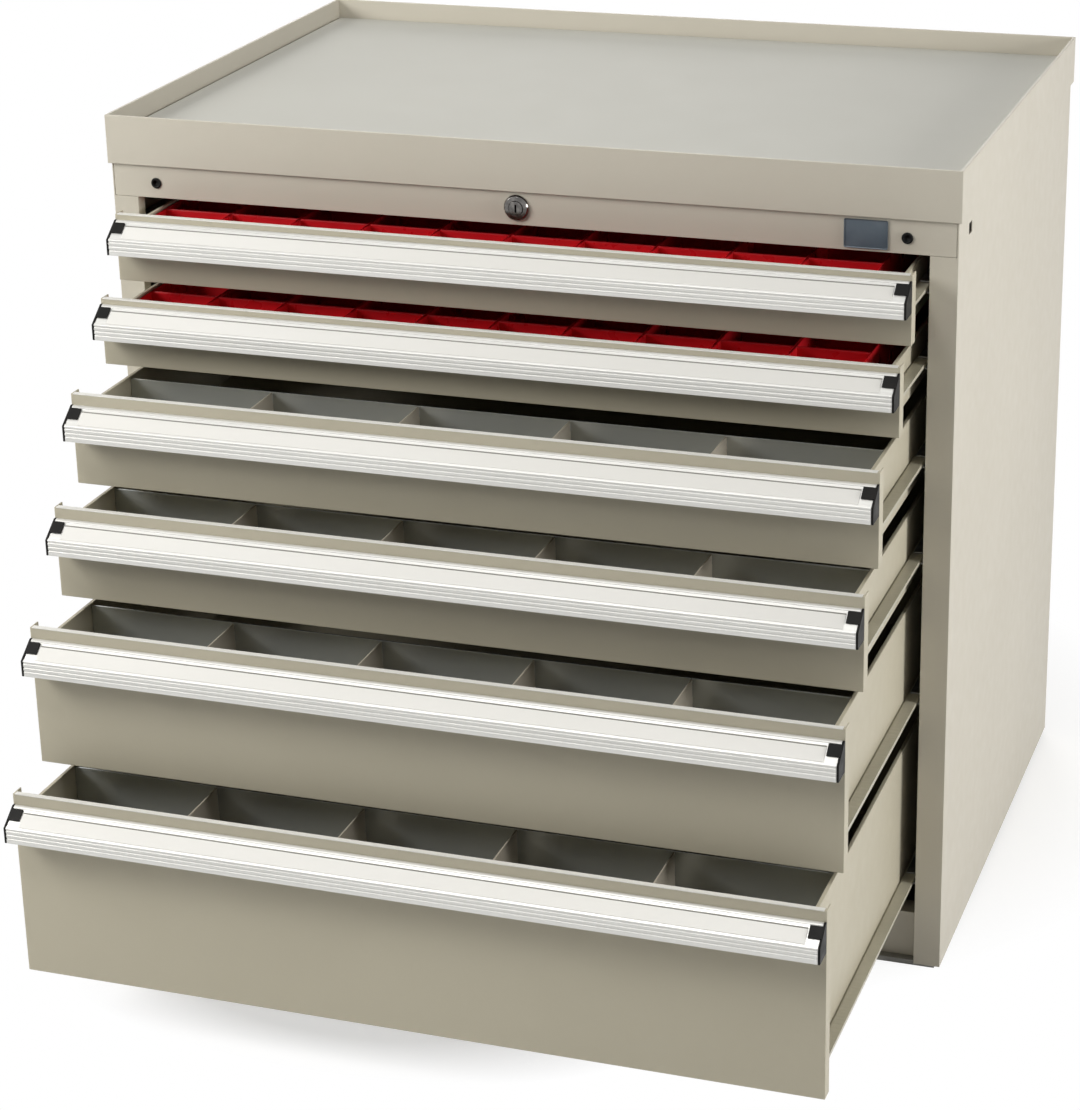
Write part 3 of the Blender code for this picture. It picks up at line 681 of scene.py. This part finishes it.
divider_drawers = (3, 4, 5, 6)
divider_pitch = 0.156
divider_count = 4
partition_sheet = 0.002
plate_sheet = 0.0016
plate_front_gap = 0.0004
plate_rear_gap = 0.0030
plate_drop = 0.0005
hook_reach = 0.0009
hook_bands = ((0.15, 0.35), (0.65, 0.85))
partition_grey = new_finish("partition_grey", roughness=0.2)
set_shader(partition_grey, Metallic=0.55)
rolled = grain(partition_grey, per_metre=14.0, along=(0.3, 1, 1))
tint(partition_grey, rolled, (0.54, 0.565, 0.555), (0.60, 0.625, 0.615))
vary_gloss(partition_grey, grain(partition_grey, per_metre=60.0, along=(0.1, 1, 1)), low=0.17, high=0.27)
fine = grain(partition_grey, per_metre=500.0, detail=1.0)
raise_grain(partition_grey, fine, height=0.00003, strength=0.2)
divider_brown = powder_coat("divider_coat", (0.42, 0.385, 0.32), (0.46, 0.42, 0.35), gloss=(0.30, 0.40))


def on_hook(low, high):
    """A test for the bands of a plate's rear edge that stand out as hooks."""

    def test(face):
        share = (face.center.z - low.z) / (high.z - low.z)
        return face.normal.y > square_on and any(foot < share < head for foot, head in hook_bands)

    return test


for number in divider_drawers:
    body = f"drawer_{number}"
    low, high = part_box(f"{body}_dividers")
    partition = sheet_block(f"{body}_partition", Vector((low.x, high.y - partition_sheet, low.z)), high)
    soften(partition, radius=0.0004)
    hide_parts(f"{body}_dividers")
    dress(partition, partition_grey, body)
    for place in range(divider_count):
        middle = (place - (divider_count - 1) / 2) * divider_pitch
        plate = sheet_block(
            f"{body}_divider_{place + 1}",
            Vector((middle - plate_sheet / 2, low.y + plate_front_gap, low.z)),
            Vector((middle + plate_sheet / 2, high.y - plate_rear_gap, high.z - plate_drop)),
        )
        for band in hook_bands:
            for share in band:
                split_at(plate, (0, 0, low.z + share * (high.z - low.z)), (0, 0, 1))
        draw_out(plate, on_hook(low, high), (0, hook_reach, 0))
        soften(plate, radius=0.0003)
        dress(plate, divider_brown, body)

# Studio
# A wide pale floor, soft lamps at the left, above, at the right and behind,
# and the camera at the photograph's place. The far floor fades into white.

floor_size = 60
lit_floor = 0.66
near_share = 0.38

bpy.ops.object.select_all(action="DESELECT")
bpy.ops.mesh.primitive_plane_add(size=floor_size, location=(0, 0, 0))
floor = bpy.context.object
floor.name = "studio_floor"
floor_white = new_finish("floor_white", roughness=0.9)
set_shader(floor_white, Base_Color=(0.86, 0.86, 0.86, 1), Specular_IOR_Level=0.1)
tree = floor_white.node_tree
ground = tree.nodes.new("ShaderNodeTexCoord")


def worked_out(tree, operation, first, second):
    """One sum of two values, each a plain number or what another node gives."""
    made = tree.nodes.new("ShaderNodeMath")
    made.operation = operation
    for socket, value in zip(made.inputs, (first, second)):
        if isinstance(value, bpy.types.NodeSocket):
            tree.links.new(value, socket)
        else:
            socket.default_value = value
    return made.outputs["Value"]


def seen_by_eye(tree):
    """1 for camera, mirror and glass rays, and 0 for the rays that carry light."""
    path = tree.nodes.new("ShaderNodeLightPath")
    total = path.outputs["Is Camera Ray"]
    for word in ("Is Glossy Ray", "Is Transmission Ray"):
        total = worked_out(tree, "MAXIMUM", total, path.outputs[word])
    return total


def blended(tree, share, first, second):
    """Two shaders laid over each other by a share of the second."""
    made = tree.nodes.new("ShaderNodeMixShader")
    for socket, value in zip(made.inputs, (share, first, second)):
        tree.links.new(value, socket)
    return made.outputs["Shader"]


def whiten_around(middle, along, near, far):
    """How white the floor is, from the near share by this middle to all white at the far distance."""
    stretch = tree.nodes.new("ShaderNodeVectorMath")
    stretch.operation = "MULTIPLY"
    stretch.inputs[1].default_value = along
    distance = tree.nodes.new("ShaderNodeVectorMath")
    distance.operation = "DISTANCE"
    distance.inputs[1].default_value = [place * factor for place, factor in zip(middle, along)]
    fading = tree.nodes.new("ShaderNodeMapRange")
    fading.inputs["From Min"].default_value = near
    fading.inputs["From Max"].default_value = far
    fading.inputs["To Min"].default_value = near_share
    fading.inputs["To Max"].default_value = 1.0
    tree.links.new(ground.outputs["Object"], stretch.inputs[0])
    tree.links.new(stretch.outputs["Vector"], distance.inputs[0])
    tree.links.new(distance.outputs["Value"], fading.inputs["Value"])
    return fading.outputs["Result"]


under_drawers = whiten_around((-0.12, -0.49, 0.0), (1.0, 2.0, 1.0), near=0.19, far=0.33)
under_casing = whiten_around((0.0, 0.15, 0.0), (1.0, 1.0, 1.0), near=0.45, far=0.62)
whiteness = worked_out(tree, "MINIMUM", under_drawers, under_casing)
lift = worked_out(tree, "DIVIDE", 1 - lit_floor, whiteness)
white = tree.nodes.new("ShaderNodeEmission")
tree.links.new(worked_out(tree, "ADD", lift, lit_floor), white.inputs["Strength"])
share = worked_out(tree, "MULTIPLY", seen_by_eye(tree), whiteness)
paint = tree.nodes["Principled BSDF"].outputs["BSDF"]
surface = blended(tree, share, paint, white.outputs["Emission"])
tree.links.new(surface, tree.nodes["Material Output"].inputs["Surface"])
floor.data.materials.append(floor_white)

world = bpy.data.worlds.new("studio_air")
bpy.context.scene.world = world
world.use_nodes = True
air = world.node_tree
soft_light = air.nodes["Background"]
soft_light.inputs["Color"].default_value = (1.0, 0.985, 0.96, 1)
soft_light.inputs["Strength"].default_value = 0.09
backdrop = air.nodes.new("ShaderNodeBackground")
backdrop.inputs["Color"].default_value = (1, 1, 1, 1)
backdrop.inputs["Strength"].default_value = 1.0
around = blended(air, seen_by_eye(air), soft_light.outputs["Background"], backdrop.outputs["Background"])
air.links.new(around, air.nodes["World Output"].inputs["Surface"])


def lamp(name, place, aim, size, watts, colour):
    """A square soft lamp that looks at a point, and isn't itself seen."""
    data = bpy.data.lights.new(name, "AREA")
    data.shape = "SQUARE"
    data.size = size
    data.energy = watts
    data.color = colour
    made = bpy.data.objects.new(name, data)
    bpy.context.scene.collection.objects.link(made)
    made.location = place
    made.rotation_euler = (Vector(aim) - Vector(place)).to_track_quat("-Z", "Y").to_euler()
    made.visible_camera = False


drawer_middle = (0, -0.2, 0.55)
back_middle = (0, 0.3, 0.45)
warm = (1.0, 0.99, 0.96)
plain = (1.0, 0.99, 0.97)
lamp("lamp_left", (-2.0, -1.6, 1.8), drawer_middle, size=1.0, watts=48, colour=warm)
lamp("lamp_above", (-0.8, -2.2, 4.2), drawer_middle, size=1.2, watts=46, colour=warm)
lamp("lamp_right", (2.9, -0.55, 1.15), drawer_middle, size=0.8, watts=49, colour=plain)
lamp("lamp_over_back", (0.0, 1.6, 3.0), drawer_middle, size=1.8, watts=19, colour=plain)
lamp("lamp_behind", (-1.2, 3.6, 1.5), back_middle, size=1.6, watts=35, colour=plain)

eye = bpy.data.cameras.new("camera")
eye.sensor_fit = "AUTO"
eye.sensor_width = 36.0
eye.lens = 96.269
eye.shift_x = -0.04739
eye.shift_y = -0.07375
eye.clip_start = 0.1
eye.clip_end = 200.0
camera = bpy.data.objects.new("camera", eye)
bpy.context.scene.collection.objects.link(camera)
camera.location = (0.96398, -2.90871, 1.53675)
camera.rotation_euler = [math.radians(angle) for angle in (69.5026, 0.9700, 18.4651)]
bpy.context.scene.camera = camera
bpy.context.scene.view_settings.view_transform = "Standard"
